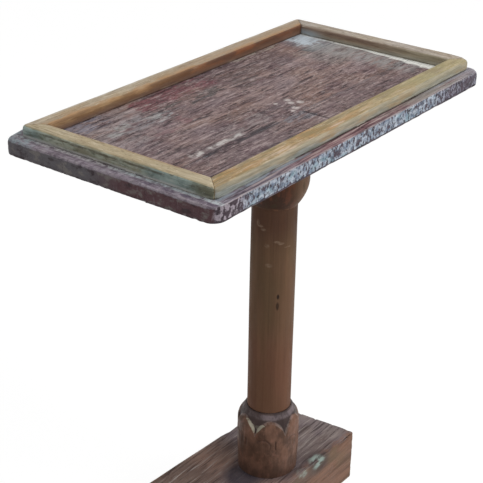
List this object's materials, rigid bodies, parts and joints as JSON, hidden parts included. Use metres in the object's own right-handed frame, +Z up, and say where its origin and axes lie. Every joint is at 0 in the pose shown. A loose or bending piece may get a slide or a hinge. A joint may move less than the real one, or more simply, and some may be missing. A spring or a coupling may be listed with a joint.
{
  "type": "quran stand",
  "caption": "Wooden Quran stand: a plank reading tray with a raised mitred rim on a turned post, with a carved petal collar on a thick hewn block.",
  "frame": {"origin": "on the floor under the middle of the tray", "axes": "+Z up; +X along the tray; +Y from the reader's side to the far side"},
  "size_m": [0.566, 0.309, 0.6348],
  "materials": {
    "painted_plank": "worn maroon and grey-blue paint, matt",
    "rail_wood": "bare tan wood with paint remains, satin",
    "post_wood": "dark brown, satin",
    "collar_wood": "brown with grey-violet paint remains, satin",
    "block_wood": "weathered grey-brown, matt",
    "batten_wood": "plain planed wood, matt",
    "zinc_steel": "zinc plated"
  },
  "bodies": {
    "root": {"back_plank": "painted_plank", "back_rail": "rail_wood", "base_block": "block_wood", "base_bolt": "zinc_steel", "base_collar": "collar_wood", "batten_screw_1": "zinc_steel", "batten_screw_10": "zinc_steel", "batten_screw_11": "zinc_steel", "batten_screw_12": "zinc_steel", "batten_screw_2": "zinc_steel", "batten_screw_3": "zinc_steel", "batten_screw_4": "zinc_steel", "batten_screw_5": "zinc_steel", "batten_screw_6": "zinc_steel", "batten_screw_7": "zinc_steel", "batten_screw_8": "zinc_steel", "batten_screw_9": "zinc_steel", "bolt_washer": "zinc_steel", "capital": "post_wood", "capital_screw_1": "zinc_steel", "capital_screw_2": "zinc_steel", "capital_screw_3": "zinc_steel", "capital_screw_4": "zinc_steel", "front_left_plank": "painted_plank", "front_rail": "rail_wood", "front_right_plank": "painted_plank", "left_batten": "batten_wood", "left_rail": "rail_wood", "middle_plank": "painted_plank", "plate_screw_1": "zinc_steel", "plate_screw_2": "zinc_steel", "plate_screw_3": "zinc_steel", "plate_screw_4": "zinc_steel", "plate_screw_5": "zinc_steel", "plate_screw_6": "zinc_steel", "post": "post_wood", "rail_screw_1": "zinc_steel", "rail_screw_10": "zinc_steel", "rail_screw_11": "zinc_steel", "rail_screw_12": "zinc_steel", "rail_screw_13": "zinc_steel", "rail_screw_14": "zinc_steel", "rail_screw_2": "zinc_steel", "rail_screw_3": "zinc_steel", "rail_screw_4": "zinc_steel", "rail_screw_5": "zinc_steel", "rail_screw_6": "zinc_steel", "rail_screw_7": "zinc_steel", "rail_screw_8": "zinc_steel", "rail_screw_9": "zinc_steel", "right_batten": "batten_wood", "right_rail": "rail_wood", "top_plate": "batten_wood"}
  },
  "joints": []
}
